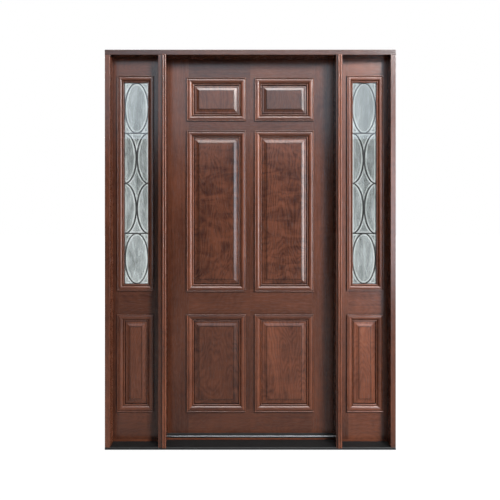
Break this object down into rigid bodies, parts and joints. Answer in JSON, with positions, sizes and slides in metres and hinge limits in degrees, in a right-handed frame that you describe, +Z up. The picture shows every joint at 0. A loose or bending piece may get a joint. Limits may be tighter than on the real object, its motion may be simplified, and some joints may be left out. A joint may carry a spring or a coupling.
{
  "type": "solid wood entry door with sidelights",
  "caption": "Solid wood entry door unit: a raised-panel door on butt hinges between two fixed sidelights with leaded glass, in a rabbeted frame on a metal sill.",
  "frame": {"origin": "on the sill's underside, at the middle of the unit's width and of the frame's depth", "axes": "+X to the right as seen from outside, +Y into the building, +Z up"},
  "size_m": [1.524, 0.157, 2.0955],
  "materials": {
    "door_wood": "semi-gloss",
    "threshold_wood": "satin",
    "sill_metal": "satin",
    "bar_metal": "satin",
    "hinge_metal": "satin",
    "seal_rubber": "matte",
    "came_metal": "satin",
    "leaded_glass": "gloss",
    "clear_glass": "gloss"
  },
  "bodies": {
    "frame": {"door_seals": "seal_rubber", "head_jamb": "door_wood", "hinge_frame_leaves": "hinge_metal", "hinge_pins": "hinge_metal", "left_jamb": "door_wood", "left_mullion_cover": "door_wood", "left_mullion_post": "door_wood", "left_sidelight_moulding_crosses": "door_wood", "left_sidelight_moulding_uprights": "door_wood", "left_sidelight_panel": "door_wood", "left_sidelight_rails": "door_wood", "left_sidelight_stiles": "door_wood", "left_sidelight_stop": "door_wood", "right_jamb": "door_wood", "right_mullion_cover": "door_wood", "right_mullion_post": "door_wood", "right_sidelight_moulding_crosses": "door_wood", "right_sidelight_moulding_uprights": "door_wood", "right_sidelight_panel": "door_wood", "right_sidelight_rails": "door_wood", "right_sidelight_stiles": "door_wood", "right_sidelight_stop": "door_wood", "sidelight_cames": "came_metal", "sidelight_leaded_glass": "leaded_glass", "sidelight_panes": "clear_glass", "sill_plate": "sill_metal", "threshold_bar": "bar_metal", "threshold_boards": "threshold_wood"},
    "door": {"door_back_moulding_crosses": "door_wood", "door_back_moulding_uprights": "door_wood", "door_bottom_rail": "door_wood", "door_frieze_rail": "door_wood", "door_front_moulding_crosses": "door_wood", "door_front_moulding_uprights": "door_wood", "door_hinge_stile": "door_wood", "door_lock_rail": "door_wood", "door_lock_stile": "door_wood", "door_lower_panels": "door_wood", "door_mid_stiles": "door_wood", "door_middle_panels": "door_wood", "door_sweep": "seal_rubber", "door_top_rail": "door_wood", "door_upper_panels": "door_wood", "hinge_door_leaves": "hinge_metal"}
  },
  "joints": [
    {"name": "door_swing", "type": "hinge", "parent": "frame", "child": "door", "pos_m": [-0.4595, 0.0745, 0], "axis": [0, 0, 1], "range_deg": [0, 110]}
  ]
}
